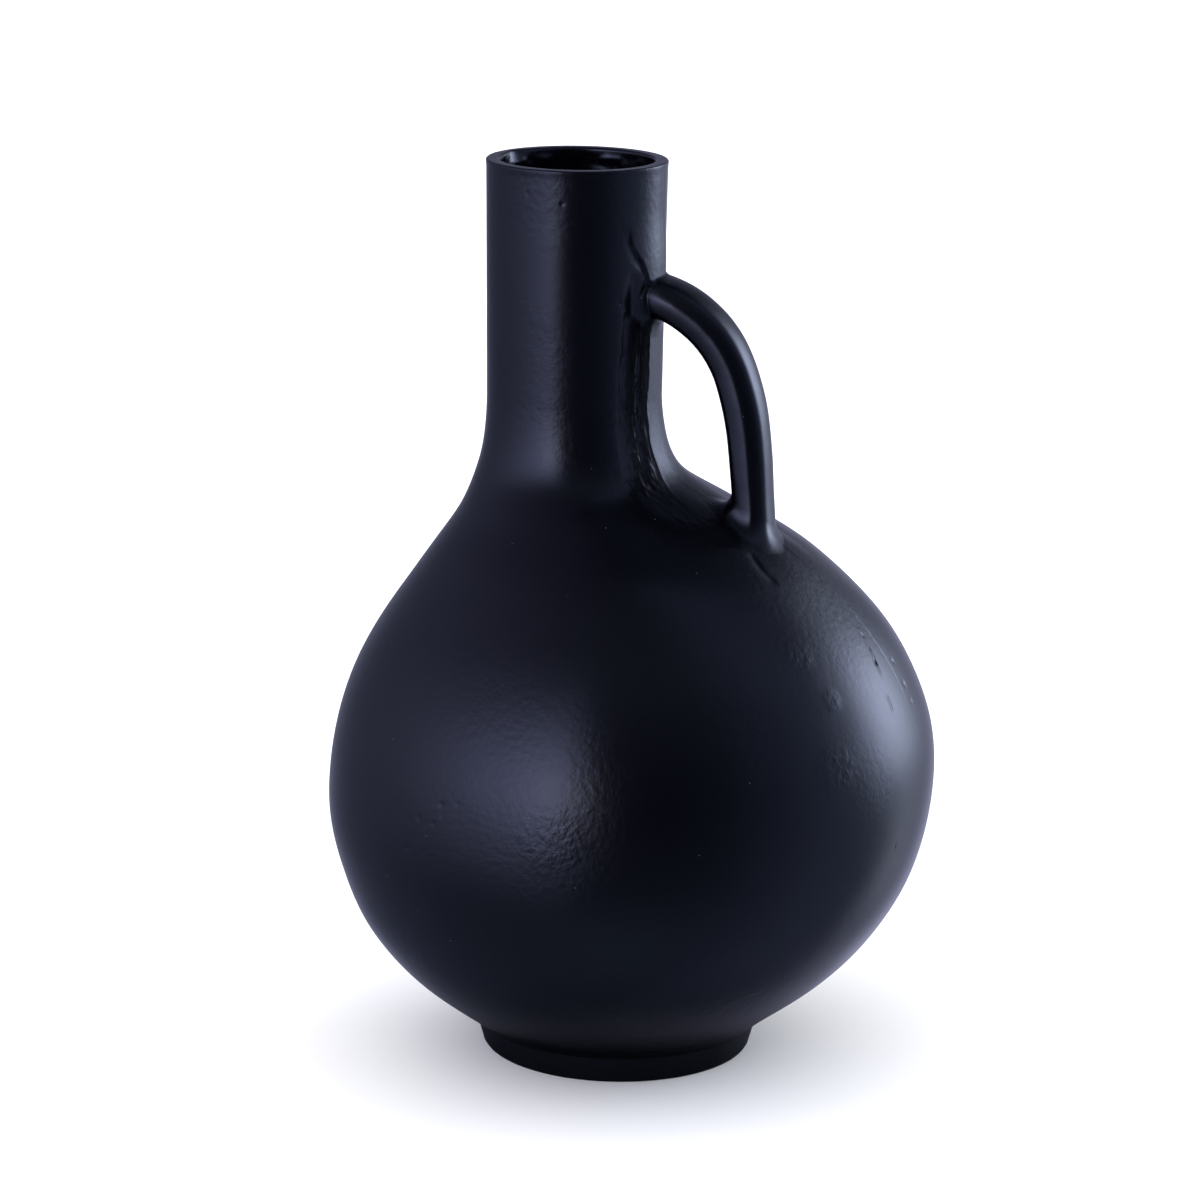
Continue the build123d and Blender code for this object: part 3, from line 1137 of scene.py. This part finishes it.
def studio_light():
    """The room as the glaze mirrors it; the camera itself sees a plain white ground."""
    world = bpy.data.worlds.new("studio")
    bpy.context.scene.world = world
    world.use_nodes = True
    world.node_tree.nodes.clear()
    wire = Wiring(world.node_tree)
    direction = wire.add("TexCoord").outputs["Generated"]
    front, right = view_directions()
    to_front, to_right, to_top = (
        wire.vector("DOT_PRODUCT", direction, axis) for axis in (front, right, (0, 0, 1))
    )
    azimuth = wire.calc("ARCTAN2", to_right, to_front)
    height = wire.calc("ARCSINE", to_top)

    def glow(around, above, width, tallness):
        turn = wire.calc("SUBTRACT", azimuth, math.radians(around))
        turn = wire.calc("WRAP", turn, math.pi, -math.pi)
        rise = wire.calc("SUBTRACT", height, math.radians(above))
        squares = []
        for away, size in ((turn, width), (rise, tallness)):
            share = wire.calc("DIVIDE", away, math.radians(size))
            squares.append(wire.times(share, share))
        return wire.calc("EXPONENT", wire.times(wire.calc("ADD", *squares), -1.0))

    def add_light(total, colour, amount):
        return wire.vector("ADD", total, wire.vector("SCALE", colour, Scale=amount))

    left_colour, *left_place = left_box
    start = math.radians(left_box_edge - left_box_edge_blur)
    end = math.radians(left_box_edge + left_box_edge_blur)
    cut_off = wire.range(azimuth, start, end, 1.0, 0.0)
    total = add_light(room_dark, left_colour, wire.times(glow(*left_place), cut_off))
    for colour, *place in lights:
        total = add_light(total, colour, glow(*place))
    total = add_light(total, floor_bounce, wire.range(height, *floor_bounce_span))
    dim = wire.feed(wire.add("Background"), Color=total, Strength=1.0)
    bright = wire.feed(wire.add("Background"), Color=(1, 1, 1, 1), Strength=1.0)
    seen = wire.add("LightPath").outputs["Is Camera Ray"]
    chosen = wire.mix_shaders(seen, dim.outputs[0], bright.outputs[0])
    wire.feed(wire.add("OutputWorld"), Surface=chosen)


# The overhead light's strength, how wide it is in degrees, and its height in metres
overhead_strength = 4.2
overhead_width = 160
overhead_height = 2.6


def overhead_light():
    """A wide soft light over the floor, which the glaze doesn't mirror."""
    data = bpy.data.lights.new("overhead", "SUN")
    data.angle = math.radians(overhead_width)
    data.energy = overhead_strength
    light = add_object("overhead", data)
    light.location = (0, 0, overhead_height)
    light.visible_glossy = False
    light.visible_camera = False


# The floor's half width in metres, its two tones and their patches a metre
floor_half_width = 6.0
floor_tones = ((0.93, 0.915, 0.89, 1), (0.95, 0.935, 0.91, 1))
floor_patches = 4.0

# How far from the foot the vase's own shade reaches in what the glaze mirrors of the floor
floor_shade_span = (0.030, 0.115)
floor_shade_colour = (0.01, 0.01, 0.01, 1)


def plain_floor():
    """A plain pale floor. The glaze mirrors only the vase's own shade on it, round the foot."""
    mesh = bpy.data.meshes.new("floor")
    far = floor_half_width
    corners = [(-far, -far, 0), (far, -far, 0), (far, far, 0), (-far, far, 0)]
    mesh.from_pydata(corners, [], [(0, 1, 2, 3)])
    floor = add_object("floor", mesh)
    material, wire, paper = new_material("floor_paper")
    place = wire.place()
    tone = wire.mix(wire.noise(place, floor_patches), *floor_tones)
    wire.feed(paper, Base_Color=tone, Specular_IOR_Level=0.0, Roughness=1.0)
    away = wire.vector("DISTANCE", place, (-foot_offset * MM, 0, 0))
    dark = wire.feed(wire.add("BsdfDiffuse"), Color=floor_shade_colour).outputs[0]
    clear = wire.add("BsdfTransparent").outputs[0]
    shade = wire.mix_shaders(wire.range(away, *floor_shade_span), dark, clear)
    mirrored = wire.add("LightPath").outputs["Is Glossy Ray"]
    chosen = wire.mix_shaders(mirrored, paper.outputs[0], shade)
    wire.feed(material.node_tree.nodes["Material Output"], Surface=chosen)
    mesh.materials.append(material)


orange_peel = orange_peel_group()
handled_gloss = handled_gloss_group()
dust = dust_group()

glaze = dark_coat("black_satin_glaze", (0.0003, 0.0003, 0.0007), (0.0006, 0.0006, 0.0012))
slip = dark_coat(
    "seam_slip", (0.0004, 0.0004, 0.0008), (0.0007, 0.0007, 0.0013), peel_depth=0.0001,
    dust_size=0.02,
)
# The foot's coat is the same black satin, rougher and mirroring less. Its paler base colour is
# painted light, so the foot shows lighter than the glaze would.
foot_coat_painted_light = dark_coat(
    "foot_clay", (0.0022, 0.0022, 0.0034), (0.0034, 0.0034, 0.0048), gloss=0.32, spread=0.12,
    mirror=0.4,
)

half_shell("front_half", front_columns, glaze)
half_shell("back_half", back_columns, glaze)
joint_seam("handle_side_seam", 1, slip)
joint_seam("far_side_seam", -1, slip)
handle_loop(glaze)
root_collar("upper_root_collar", True, upper_root_sizes, upper_root_toe, glaze)
root_collar("lower_root_collar", False, lower_root_sizes, lower_root_toe, glaze)
foot_ring(foot_coat_painted_light)
base_disc(foot_coat_painted_light)

set_camera()
studio_light()
overhead_light()
plain_floor()
bpy.context.scene.view_settings.view_transform = "Standard"
